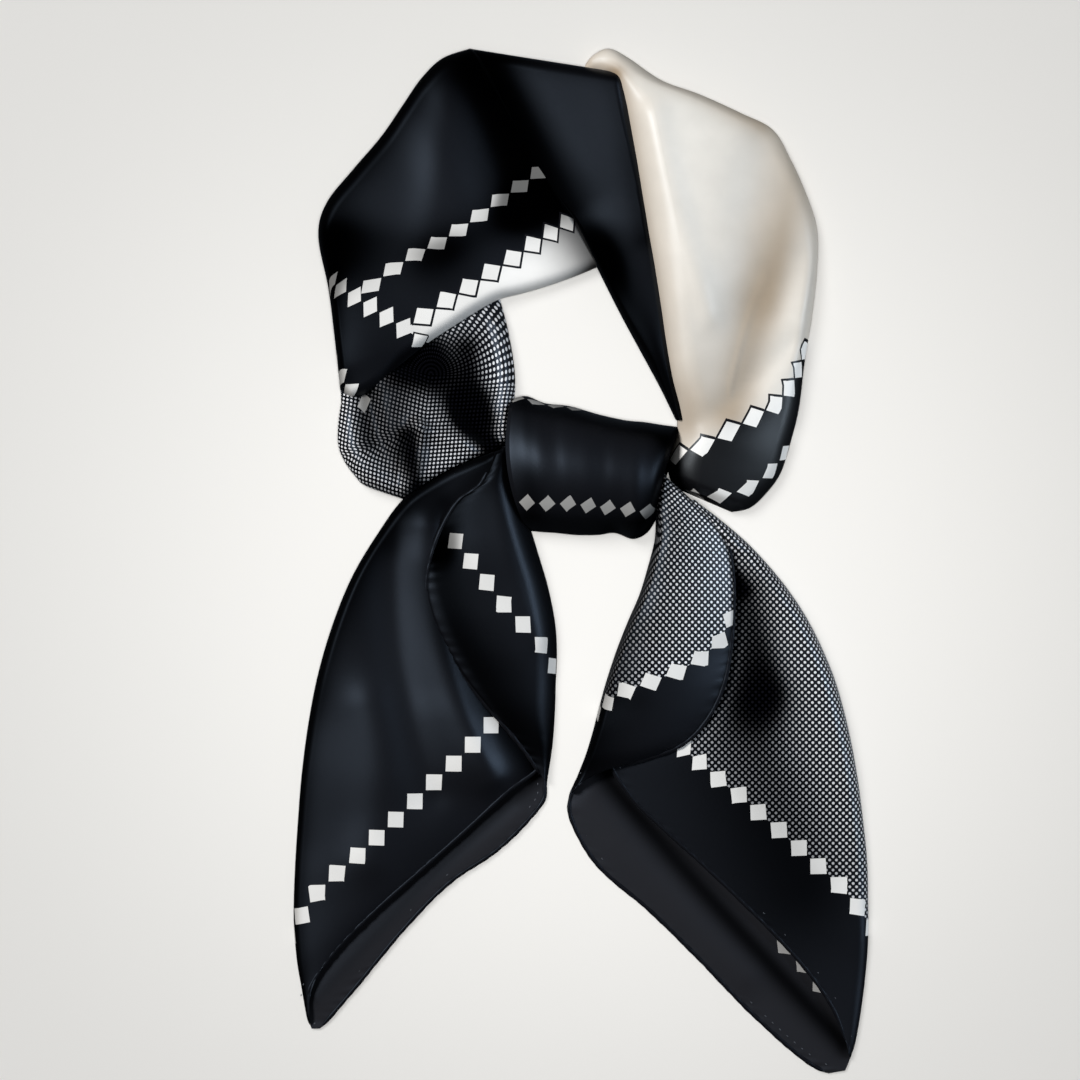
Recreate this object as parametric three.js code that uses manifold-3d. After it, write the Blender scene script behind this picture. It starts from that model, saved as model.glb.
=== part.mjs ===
// A silk square scarf, folded on its diagonal, tied once and laid down on a flat surface.
// Millimetres, +Z up, +Y towards the top of the neck loop, origin on the surface under the middle.
import * as THREE from "three";
import { mergeVertices } from "three/addons/utils/BufferGeometryUtils.js";
import Module from "manifold-3d";

const wasm = await Module();
wasm.setup();

// Driving dimensions, in millimetres
const LENGTH = 443; // from the top of the loop to the tip of the longer tail
const WALL = 1.0; // a layer of cloth
const HEM = 0.7; // what the rolled hem adds to a layer
const LIP = 3.4; // the edge of a folded stretch
const SEAM = 0.6; // between two stretches that lie side by side
const GAP = 0.35; // between two stretches that lie on each other
const LYING = 1.2; // the layer that lies on the surface

// Outlines are in units of the reference view, x to the right and y down.
const VIEW = { middleX: 581.2, middleY: 562.4, top: 48, bottom: 1078 };
const SCALE = LENGTH / (VIEW.bottom - VIEW.top);

// A table's rows, with its columns named.
const table = (names, rows) => rows.map((row) => Object.fromEntries(names.split(" ").map((name, i) => [name, row[i]])));

// Each stretch is a table of sections. A section runs from a left edge to a right edge and bows
// to its own left by bow. The last three columns are its height in millimetres near the left
// edge, in the middle and near the right edge. A roll is how far in from a side the cloth takes
// to turn up from its foot. A fold is a ridge, or a trough where it is negative, along a bent line.
const SECTION = "leftX leftY rightX rightY bow left middle right";
const FOLD = "x0 y0 xm ym x1 y1 rise0 rise1 wideLeft wideRight";

const LOOP_LEFT = {
  rolls: { start: 0, end: 0, left: 12, right: 8 },
  sections: table(SECTION, [
    [470, 48, 597, 267, 0, 14, 10, 9],
    [442, 58, 575, 276, 0, 15, 11, 9],
    [421, 78, 550, 285, 0, 16, 13, 10],
    [403, 104, 523, 293, 0, 17, 16, 12],
    [381, 136, 500, 299, 0, 17, 17, 13],
    [352, 170, 478, 311, 0, 17, 17, 14],
    [326, 203, 452, 328, 0, 16, 17, 14],
    [318, 236, 428, 344, 0, 15, 17, 14],
    [328, 288, 403, 362, 0, 14, 16, 14],
    [334, 335, 380, 386, 0, 13, 15, 13],
    [340, 390, 354, 400, 0, 11, 12, 11],
  ]),
  folds: table(FOLD, [
    [335, 372, 372, 352, 420, 335, 1.5, 0, 26, 14],
  ]),
};
const LOOP_LEFT_LOWER = {
  rolls: { start: 0, end: 0, left: 11, right: 9 },
  sections: table(SECTION, [
    [341, 403, 500, 299, 0, 9, 7, 12],
    [338, 422, 508, 330, 0, 10, 8, 15],
    [338, 445, 514, 365, 0, 12, 10, 17],
    [344, 461, 515, 390, 0, 13, 11, 17],
    [354, 475, 512, 412, 2, 14, 13, 17],
    [366, 486, 510, 430, 4, 14, 14, 16],
    [403, 499, 508, 447, 6, 12, 14, 15],
  ]),
  folds: table(FOLD, [
    [366, 404, 358, 432, 384, 466, -5, -2, 9, 14],
    [424, 424, 446, 444, 500, 446, 4.5, 2, 7, 16],
    [428, 366, 466, 372, 478, 432, -2, -4, 16, 12],
    [420, 440, 408, 462, 400, 488, -2.5, -1.5, 10, 8],
  ]),
};
const LOOP_CROSSING = {
  rolls: { start: 12, end: 0, left: 3, right: 3 },
  sections: table(SECTION, [
    [470, 48, 614, 71, 0, 12, 17, 14],
    [506, 122, 625, 130, 0, 10, 18, 10],
    [535, 165, 634, 170, 0, 10, 18, 9],
    [562, 203, 640, 205, 0, 11, 17, 9],
    [577, 224, 644, 230, 0, 12, 17, 9],
    [597, 267, 650, 265, 0, 14, 17, 10],
    [620, 313, 657, 310, 0, 16, 17, 11],
    [640, 350, 663, 349, 0, 16, 16, 12],
    [660, 387, 670, 386, 0, 14, 14, 13],
    [676, 420, 679, 420, 0, 12, 12, 12],
  ]),
  folds: [],
};
const LOOP_RIGHT = {
  rolls: { start: 4, end: 9, left: 7, right: 11 },
  sections: table(SECTION, [
    [611, 52, 617, 50, 0, 8, 9, 9],
    [613, 68, 634, 65, 0, 12, 12, 12],
    [618, 88, 662, 80, 0, 16, 15, 12],
    [624, 118, 700, 94, 0, 19, 18, 13],
    [631, 152, 742, 113, 0, 21, 19, 13],
    [637, 185, 773, 129, 0, 22, 20, 13],
    [643, 217, 790, 157, 0, 23, 20, 14],
    [648, 248, 806, 192, 0, 24, 20, 15],
    [653, 280, 817, 226, 0, 24, 21, 16],
    [658, 312, 818, 262, 0, 24, 21, 16],
    [662, 345, 813, 312, 0, 23, 20, 16],
    [668, 378, 805, 362, 0, 22, 19, 17],
    [676, 408, 799, 410, 0, 20, 18, 18],
    [677, 434, 788, 455, 0, 18, 18, 17],
    [669, 460, 768, 489, 0, 17, 17, 15],
    [672, 481, 738, 510, 4, 15, 15, 13],
  ]),
  folds: table(FOLD, [
    [812, 226, 770, 268, 733, 372, -3, -5, 15, 34],
    [666, 130, 676, 200, 712, 330, 1.2, 1, 14, 9],
  ]),
};
const LOOP_MOUTH = {
  rolls: { start: 0, end: 0, left: 0, right: 3 },
  sections: table(SECTION, [
    [590, 66, 588, 64, 0, 5, 5, 5],
    [598, 67, 594, 56, 0, 5, 7, 8],
    [606, 68, 601, 51, 0, 6, 7, 9],
    [612, 69, 609, 49, 0, 8, 9, 10],
  ]),
  folds: [],
};
const KNOT = {
  rolls: { start: 0, end: 5, left: 13, right: 11 },
  sections: table(SECTION, [
    [531, 531, 515, 398, 12, 13, 15, 13],
    [541, 532, 527, 396, 8, 19, 23, 19],
    [556, 533, 545, 403, 4, 22, 27, 22],
    [576, 535, 570, 406, 0, 24, 29, 24],
    [598, 535, 598, 414, 0, 25, 29, 25],
    [615, 533, 625, 420, 0, 24, 29, 24],
    [633, 539, 645, 422, 0, 23, 28, 23],
    [647, 533, 664, 425, 2, 21, 26, 21],
    [656, 520, 680, 427, 4, 18, 22, 18],
  ]),
  folds: table(FOLD, [
    [538, 404, 540, 450, 536, 500, 0.9, 0.2, 7, 6],
    [556, 408, 556, 440, 562, 480, -0.8, 0, 6, 8],
    [640, 425, 634, 470, 634, 534, 0.3, 0.9, 8, 10],
  ]),
};
const TAIL_LEFT_FRONT = {
  hem: "right",
  rolls: { start: 0, end: 0, left: 7, right: 0 },
  sections: table(SECTION, [
    [500, 450, 508, 449, 0, 16, 16, 15],
    [470, 461, 500, 480, 0, 16, 15, 13],
    [435, 478, 470, 509, 0, 15, 14, 11],
    [403, 499, 448, 545, 0, 14, 13, 9],
    [377, 534, 440, 580, 0, 13, 12, 8],
    [352, 576, 444, 615, 0, 13, 12, 7],
    [333, 622, 461, 650, 0, 12, 11, 6],
    [318, 672, 486, 688, 0, 11, 10, 5],
    [308, 722, 512, 722, 0, 10, 9, 4.5],
    [301, 775, 543, 760, 0, 9, 8, 4.2],
    [297, 825, 506, 793, 0, 8, 7, 4],
    [294, 875, 464, 832, 0, 7, 6, 4],
    [293, 920, 420, 871, 0, 6, 5.5, 4],
    [296, 960, 376, 910, 0, 5, 5, 4],
    [301, 990, 336, 950, 0, 4.5, 4.5, 4],
    [306, 1018, 311, 985, 0, 4, 4, 4],
    [309, 1026, 308, 1004, 0, 4, 4, 4],
  ]),
  folds: [],
};
const TAIL_LEFT_FLAP = {
  hem: "left",
  rolls: { start: 0, end: 0, left: 0, right: 5 },
  sections: table(SECTION, [
    [494, 456, 509, 451, 0, 18, 19, 18],
    [481, 484, 512, 466, 0, 17, 19, 18],
    [458, 502, 518, 487, 0, 14, 18, 18],
    [441, 530, 528, 520, 0, 12, 17, 18],
    [430, 562, 538, 553, 0, 11, 16, 17],
    [427, 590, 548, 587, 0, 10, 15, 15],
    [434, 620, 555, 622, 0, 9, 14, 14],
    [448, 650, 557, 652, 0, 8, 13, 12],
    [466, 679, 556, 682, 0, 7.5, 11, 11],
    [489, 708, 555, 712, 0, 7, 10, 10],
    [512, 735, 553, 742, 0, 6.5, 8, 8],
    [531, 760, 550, 764, 0, 6, 6.5, 6.5],
    [541, 776, 547, 782, 0, 6, 6, 6],
  ]),
  folds: [],
};
const TAIL_LEFT_BACK = {
  sections: table(SECTION, [
    [410, 520, 520, 520, 0, LYING, LYING, LYING],
    [378, 560, 535, 563, 0, LYING, LYING, LYING],
    [350, 598, 546, 600, 0, LYING, LYING, LYING],
    [332, 640, 551, 644, 0, LYING, LYING, LYING],
    [318, 692, 550, 695, 0, LYING, LYING, LYING],
    [310, 745, 547, 745, 0, LYING, LYING, LYING],
    [305, 800, 545, 785, 0, LYING, LYING, LYING],
    [301, 850, 540, 806, 0, LYING, LYING, LYING],
    [299, 905, 500, 848, 0, LYING, LYING, LYING],
    [299, 940, 448, 884, 0, LYING, LYING, LYING],
    [303, 968, 402, 931, 0, LYING, LYING, LYING],
    [306, 992, 360, 982, 0, LYING, LYING, LYING],
    [309, 1012, 332, 1015, 0, LYING, LYING, LYING],
    [314, 1030, 320, 1030, 0, LYING, LYING, LYING],
  ]),
  rolls: { start: 0, end: 0, left: 0, right: 0 },
  folds: [],
};
const TAIL_RIGHT_FRONT = {
  hem: "left",
  rolls: { start: 0, end: 0, left: 0, right: 6 },
  sections: table(SECTION, [
    [688, 503, 698, 503, 0, 12, 13, 14],
    [705, 530, 722, 521, 0, 11, 13, 14],
    [715, 558, 752, 547, 0, 10, 13, 14],
    [718, 600, 785, 585, 0, 9, 12, 14],
    [717, 635, 810, 623, 0, 8, 11, 13],
    [708, 680, 831, 668, 0, 6.5, 10, 12],
    [685, 713, 843, 705, 0, 5, 9, 11],
    [650, 733, 852, 743, 0, 4.5, 8, 10],
    [611, 756, 859, 783, 0, 4.2, 7, 9],
    [628, 793, 864, 822, 0, 4, 6.5, 8],
    [660, 826, 868, 862, 0, 4, 6, 7],
    [700, 862, 869, 902, 0, 4, 5.5, 6.5],
    [740, 900, 869, 942, 0, 4, 5, 6],
    [780, 940, 866, 980, 0, 4, 4.6, 5],
    [813, 978, 861, 1018, 0, 4, 4.4, 4.6],
    [835, 1012, 856, 1045, 0, 4, 4.2, 4.4],
    [846, 1042, 851, 1060, 0, 4, 4, 4],
  ]),
  folds: [],
};
const TAIL_RIGHT_FLAP = {
  hem: "right",
  rolls: { start: 0, end: 0, left: 5, right: 0 },
  sections: table(SECTION, [
    [656, 519, 666, 477, 0, 14, 16, 15],
    [655, 540, 688, 497, 0, 15, 16, 15],
    [649, 564, 711, 519, 0, 16, 17, 14],
    [640, 594, 727, 545, 0, 16, 17, 13.5],
    [628, 622, 733, 578, 0, 16, 17, 13],
    [617, 650, 733, 612, 0, 15, 16, 12],
    [607, 680, 731, 645, 0, 14, 15, 10.5],
    [600, 705, 724, 684, 0, 12, 13, 9],
    [593, 732, 708, 718, 0, 11, 12, 8],
    [586, 755, 683, 744, 0, 9, 10, 7],
    [579, 773, 645, 759, 0, 7, 8, 6.5],
    [573, 788, 603, 769, 0, 6.5, 6.5, 6.5],
    [571, 794, 579, 783, 0, 6, 6, 6],
  ]),
  folds: [],
};
const TAIL_RIGHT_BACK = {
  sections: table(SECTION, [
    [664, 560, 745, 562, 0, LYING, LYING, LYING],
    [650, 590, 775, 594, 0, LYING, LYING, LYING],
    [634, 625, 800, 632, 0, LYING, LYING, LYING],
    [620, 665, 820, 674, 0, LYING, LYING, LYING],
    [607, 705, 835, 718, 0, LYING, LYING, LYING],
    [592, 755, 846, 770, 0, LYING, LYING, LYING],
    [571, 797, 855, 825, 0, LYING, LYING, LYING],
    [574, 826, 860, 878, 0, LYING, LYING, LYING],
    [600, 868, 862, 925, 0, LYING, LYING, LYING],
    [650, 911, 861, 955, 0, LYING, LYING, LYING],
    [700, 960, 858, 990, 0, LYING, LYING, LYING],
    [750, 1012, 854, 1025, 0, LYING, LYING, LYING],
    [800, 1057, 849, 1055, 0, LYING, LYING, LYING],
    [830, 1075, 842, 1074, 0, LYING, LYING, LYING],
  ]),
  rolls: { start: 0, end: 0, left: 0, right: 0 },
  folds: [],
};

const mix = (a, b, t) => a + (b - a) * t;
const clamp01 = (t) => Math.min(1, Math.max(0, t));

// A point of the reference view, in millimetres in the part's frame.
const place = (x, y) => new THREE.Vector2((x - VIEW.middleX) * SCALE, (VIEW.middleY - y) * SCALE);

// A section at t along a stretch, each column on a smooth curve through the rows.
function sectionAt(rows, t) {
  const last = rows.length - 1;
  const k = Math.min(Math.floor(t * last), last - 1);
  const f = t * last - k;
  const [a, b, c, d] = [rows[Math.max(k - 1, 0)], rows[k], rows[k + 1], rows[Math.min(k + 2, last)]];
  const curve = (name) => {
    const [p, q, r, s] = [a[name], b[name], c[name], d[name]];
    return q + f * ((r - p) / 2 + f * (p - 2.5 * q + 2 * r - s / 2 + f * (1.5 * (q - r) + (s - p) / 2)));
  };
  return Object.fromEntries(Object.keys(rows[0]).map((name) => [name, curve(name)]));
}

// What a fold adds at a point.
function foldHeight(fold, point) {
  const [from, via, to] = [place(fold.x0, fold.y0), place(fold.xm, fold.ym), place(fold.x1, fold.y1)];
  const line = new THREE.QuadraticBezierCurve(from, via, to);
  const steps = Array.from({ length: 21 }, (_, i) => i / 20);
  const away = steps.map((t) => line.getPoint(t).distanceTo(point));
  const nearest = away.indexOf(Math.min(...away));
  const t = steps[nearest];
  const side = line.getTangent(t).cross(point.clone().sub(line.getPoint(t)));
  const width = (side > 0 ? fold.wideLeft : fold.wideRight) * SCALE;
  return mix(fold.rise0, fold.rise1, t) * Math.exp(-((away[nearest] / width) ** 2));
}

// How far the cloth has turned up, from 0 at its foot to 1, at a distance from a side.
const rolled = (distance, roll) => (roll ? Math.sqrt(1 - (1 - clamp01(distance / roll)) ** 2) : 1);

// The distance from a point to a section's line.
function fromSection(row, point) {
  const [from, to] = [place(row.leftX, row.leftY), place(row.rightX, row.rightY)];
  const along = to.clone().sub(from);
  const t = clamp01(point.clone().sub(from).dot(along) / along.lengthSq());
  return from.addScaledVector(along, t).distanceTo(point);
}

// The points of a stretch's upper face, in rows along it, closer together near its sides.
function surface({ sections, rolls, folds }, across, along) {
  const spread = (u) => u - 0.11 * Math.sin(2 * Math.PI * u);
  const rows = [];
  for (let j = 0; j <= along; j++) {
    const row = sectionAt(sections, spread(j / along));
    const [from, to] = [place(row.leftX, row.leftY), place(row.rightX, row.rightY)];
    const wide = from.distanceTo(to);
    const bowed = to.clone().sub(from).rotateAround(new THREE.Vector2(), Math.PI / 2).setLength(row.bow * SCALE || 1e-9);
    const points = [];
    for (let i = 0; i <= across; i++) {
      const s = mix(SEAM / 2 / wide, 1 - SEAM / 2 / wide, spread(i / across));
      const point = from.clone().lerp(to, s).addScaledVector(bowed, 4 * s * (1 - s));
      const height = row.left * (2 * s - 1) * (s - 1) + row.middle * 4 * s * (1 - s) + row.right * s * (2 * s - 1);
      const turn = rolled(s * wide, rolls.left) * rolled((1 - s) * wide, rolls.right)
        * rolled(fromSection(sections[0], point), rolls.start)
        * rolled(fromSection(sections.at(-1), point), rolls.end);
      const raised = folds.reduce((sum, fold) => sum + foldHeight(fold, point), height);
      points.push(new THREE.Vector3(point.x, point.y, raised * turn));
    }
    rows.push(points);
  }
  return rows;
}

// The direction out of the cloth at each point of a grid.
function normals(rows) {
  const [lastJ, lastI] = [rows.length - 1, rows[0].length - 1];
  return rows.map((row, j) => row.map((_, i) => {
    const right = rows[j][Math.min(i + 1, lastI)].clone().sub(rows[j][Math.max(i - 1, 0)]);
    const down = rows[Math.min(j + 1, lastJ)][i].clone().sub(rows[Math.max(j - 1, 0)][i]);
    return down.cross(right).normalize();
  }));
}

// The places round the edge of a grid, in order.
function rim(rows) {
  const [lastJ, lastI] = [rows.length - 1, rows[0].length - 1];
  const places = [];
  for (let i = 0; i < lastI; i++) places.push([0, i]);
  for (let j = 0; j < lastJ; j++) places.push([j, lastI]);
  for (let i = lastI; i > 0; i--) places.push([lastJ, i]);
  for (let j = lastJ; j > 0; j--) places.push([j, 0]);
  return places;
}

// A closed mesh between an upper and a lower grid, with rings of points down its edge between them.
function closed(upper, lower, rings) {
  const points = [...upper.flat(), ...lower.flat(), ...rings.flat()];
  const [wide, count] = [upper[0].length, upper.flat().length];
  const index = [];
  const quad = (a, b, c, d) => index.push(a, b, c, a, c, d);
  for (let j = 0; j + 1 < upper.length; j++) {
    for (let i = 0; i + 1 < wide; i++) {
      const k = j * wide + i;
      quad(k, k + wide, k + wide + 1, k + 1);
      quad(count + k, count + k + 1, count + k + wide + 1, count + k + wide);
    }
  }
  const edge = rim(upper).map(([j, i]) => j * wide + i);
  const between = rings.map((ring, r) => ring.map((_, i) => 2 * count + r * edge.length + i));
  const levels = [edge, ...between, edge.map((k) => count + k)];
  for (let r = 0; r + 1 < levels.length; r++) {
    edge.forEach((_, i) => {
      const next = (i + 1) % edge.length;
      quad(levels[r][i], levels[r][next], levels[r + 1][next], levels[r + 1][i]);
    });
  }
  const geometry = new THREE.BufferGeometry();
  geometry.setAttribute("position", new THREE.Float32BufferAttribute(points.flatMap((p) => p.toArray()), 3));
  geometry.setIndex(index);
  return geometry;
}

// A folded stretch: its hidden layers are one rounded body, which shows their edges all round.
function folded(stretch, across, along) {
  const upper = surface(stretch, across, along);
  for (const p of upper.flat()) p.z = Math.max(p.z, LIP);
  const lower = upper.map((row) => row.map((p) => new THREE.Vector3(p.x, p.y, 0)));
  const sum = upper.flat().reduce((total, p) => total.add(p), new THREE.Vector3());
  const middle = sum.divideScalar(upper.flat().length);
  const ring = (inset, height) => rim(upper).map(([j, i]) => {
    const p = new THREE.Vector3(upper[j][i].x, upper[j][i].y, height);
    return p.addScaledVector(middle.clone().setZ(height).sub(p).normalize(), inset);
  });
  return closed(upper, lower, [ring(0.6, LIP * 0.66), ring(0, LIP * 0.33)]);
}

// A single layer: a wall of cloth, thicker at the rolled hem along one side.
function layer(stretch, across, along) {
  const upper = surface(stretch, across, along);
  for (const p of upper.flat()) p.z = Math.max(p.z, WALL);
  const out = normals(upper);
  const hemmed = { left: (i) => i <= 1, right: (i) => i >= across - 1 }[stretch.hem];
  const lower = upper.map((row, j) => row.map((p, i) => {
    const thick = WALL + (hemmed(i) ? HEM : 0);
    return new THREE.Vector3(p.x, p.y, Math.max(p.z - thick / Math.max(out[j][i].z, 0.4), 0));
  }));
  return closed(upper, lower, []);
}

// The layer that lies on the surface is flat underneath.
function lying(stretch, across, along) {
  const upper = surface(stretch, across, along);
  const lower = upper.map((row) => row.map((p) => new THREE.Vector3(p.x, p.y, 0)));
  return closed(upper, lower, []);
}

// Geometry to a solid and back, for cutting stretches clear of each other.
function toSolid(geometry) {
  const merged = mergeVertices(geometry, 1e-4);
  return new wasm.Manifold(new wasm.Mesh({
    numProp: 3,
    vertProperties: new Float32Array(merged.attributes.position.array),
    triVerts: new Uint32Array(merged.index.array),
  }));
}
function toGeometry(solid) {
  const mesh = solid.getMesh();
  const geometry = new THREE.BufferGeometry();
  geometry.setAttribute("position", new THREE.Float32BufferAttribute(mesh.vertProperties, 3));
  geometry.setIndex(Array.from(mesh.triVerts));
  geometry.computeVertexNormals();
  return geometry;
}

// The largest body of a solid that is left when a neighbour, grown by the gap, is cut away.
function clearOf(solid, neighbour) {
  const steps = [[GAP, 0, 0], [-GAP, 0, 0], [0, GAP, 0], [0, -GAP, 0], [0, 0, GAP], [0, 0, -GAP]];
  const left = steps.reduce((rest, step) => rest.subtract(neighbour.translate(step)), solid);
  return left.simplify(0.05).decompose().sort((p, q) => q.volume() - p.volume())[0];
}

const NAVY = new THREE.MeshStandardMaterial({ color: 0x14161d, roughness: 0.38, metalness: 0 });
const CREAM = new THREE.MeshStandardMaterial({ color: 0xd9d3c7, roughness: 0.32, metalness: 0 });
const DOTTED = new THREE.MeshStandardMaterial({ color: 0x4a4b4f, roughness: 0.4, metalness: 0 });

// A row per stretch, topmost first, with the stretches over it that it is cut clear of.
const STRETCHES = [
  { name: "tail_left_flap", make: layer, of: TAIL_LEFT_FLAP, across: 12, along: 20, color: NAVY, under: [] },
  { name: "tail_right_flap", make: layer, of: TAIL_RIGHT_FLAP, across: 12, along: 20, color: DOTTED, under: [] },
  { name: "tail_left_front", make: layer, of: TAIL_LEFT_FRONT, across: 14, along: 24, color: NAVY,
    under: ["tail_left_flap"] },
  { name: "tail_right_front", make: layer, of: TAIL_RIGHT_FRONT, across: 14, along: 24, color: DOTTED,
    under: ["tail_right_flap"] },
  { name: "tail_left_back", make: lying, of: TAIL_LEFT_BACK, across: 4, along: 18, color: NAVY, under: [] },
  { name: "tail_right_back", make: lying, of: TAIL_RIGHT_BACK, across: 4, along: 18, color: NAVY, under: [] },
  { name: "knot_band", make: folded, of: KNOT, across: 16, along: 14, color: NAVY,
    under: ["tail_left_flap", "tail_left_front", "tail_left_back", "tail_right_flap"] },
  { name: "loop_right", make: folded, of: LOOP_RIGHT, across: 16, along: 24, color: CREAM,
    under: ["tail_right_flap", "tail_right_front", "knot_band"] },
  { name: "loop_crossing", make: folded, of: LOOP_CROSSING, across: 10, along: 18, color: NAVY,
    under: ["knot_band", "loop_right"] },
  { name: "loop_mouth", make: folded, of: LOOP_MOUTH, across: 6, along: 4, color: CREAM, under: [] },
  { name: "loop_left", make: folded, of: LOOP_LEFT, across: 14, along: 18, color: NAVY,
    under: ["loop_crossing"] },
  { name: "loop_left_lower", make: folded, of: LOOP_LEFT_LOWER, across: 18, along: 16, color: DOTTED,
    under: ["loop_left", "tail_left_front", "tail_left_flap", "knot_band"] },
];

const scarf = new THREE.Group();
const solids = {};
for (const row of STRETCHES) {
  const whole = toSolid(row.make(row.of, row.across, row.along));
  solids[row.name] = row.under.reduce((rest, name) => clearOf(rest, solids[name]), whole);
  const mesh = new THREE.Mesh(toGeometry(solids[row.name]), row.color);
  mesh.name = row.name;
  scarf.add(mesh);
}

export default scarf;
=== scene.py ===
"""A silk square scarf, folded on its diagonal, tied once and laid down on a flat surface."""
import math

import bpy
import numpy as np
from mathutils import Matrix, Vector


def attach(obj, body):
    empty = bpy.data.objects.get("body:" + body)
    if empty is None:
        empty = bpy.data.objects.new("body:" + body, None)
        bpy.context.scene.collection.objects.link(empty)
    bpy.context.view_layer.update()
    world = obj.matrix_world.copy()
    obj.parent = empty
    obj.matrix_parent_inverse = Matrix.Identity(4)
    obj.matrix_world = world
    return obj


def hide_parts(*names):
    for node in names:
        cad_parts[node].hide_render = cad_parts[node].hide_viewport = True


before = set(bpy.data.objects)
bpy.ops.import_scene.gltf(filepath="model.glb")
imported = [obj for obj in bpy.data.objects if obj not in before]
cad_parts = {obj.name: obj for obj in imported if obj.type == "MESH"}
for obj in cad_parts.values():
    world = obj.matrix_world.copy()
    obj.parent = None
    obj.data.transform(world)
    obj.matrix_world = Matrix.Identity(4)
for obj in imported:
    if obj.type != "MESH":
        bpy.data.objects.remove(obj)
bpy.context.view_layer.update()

# Driving sizes. Outlines are in units of the reference view, x to the right and y down.
LENGTH = 0.443  # the tied scarf from end to end, in metres
VIEW_MIDDLE = (581.2, 562.4)  # where the part's origin lies in the view
VIEW_TOP, VIEW_BOTTOM, VIEW_SIZE = 48, 1078, 1080
UNIT = LENGTH / (VIEW_BOTTOM - VIEW_TOP)
MM = 0.001
CLOTH = 0.35 * MM  # a layer of the tails
LIP = 3.4 * MM  # the folded layers at the sides of the ring, together
PLIES = 3
FOOT = 0.9 * MM  # where the side of a layer starts, unless its table says
LEAST_HEIGHT = 0.3 * MM
LYING_HEIGHT = 1.2  # of a layer that lies on the surface, in millimetres
HEM_RADIUS = 0.85 * MM
HEM_WIDTH, HEM_HEIGHT = 1.1, 0.85  # its flattening
HEM_DROP = 0.2 * MM  # below the cloth's edge
LEAST_HEM = 0.9  # the least height of its middle, in radii
HEM_STEP = 1.6 * MM
STITCH_STEP = 4.3 * MM
STITCH_INSET = 3.1 * MM
STITCH_RISE = 0.25 * MM

# The columns of the tables. Places, bows and widths are in view units, and heights, rises, feet and
# rolls in millimetres.
SECTION = "leftX leftY rightX rightY bow left middle right".split()
ROW = "across along skew outline tone from to".split()
CORNERS = (("leftX", "rightX"), ("leftY", "rightY"))
SIDES = ("start", "end", "left", "right")


def lying_sections(corners):
    """The sections of a layer that lies on the surface, from the two corners of each."""
    return [[*row, 0, *[LYING_HEIGHT] * 3] for row in corners]


# The valley that the crossing and the left of the ring share
VALLEY = [496, 66, 533, 128, 574, 208, -2.2, -2.2, 26, 36]

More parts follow.
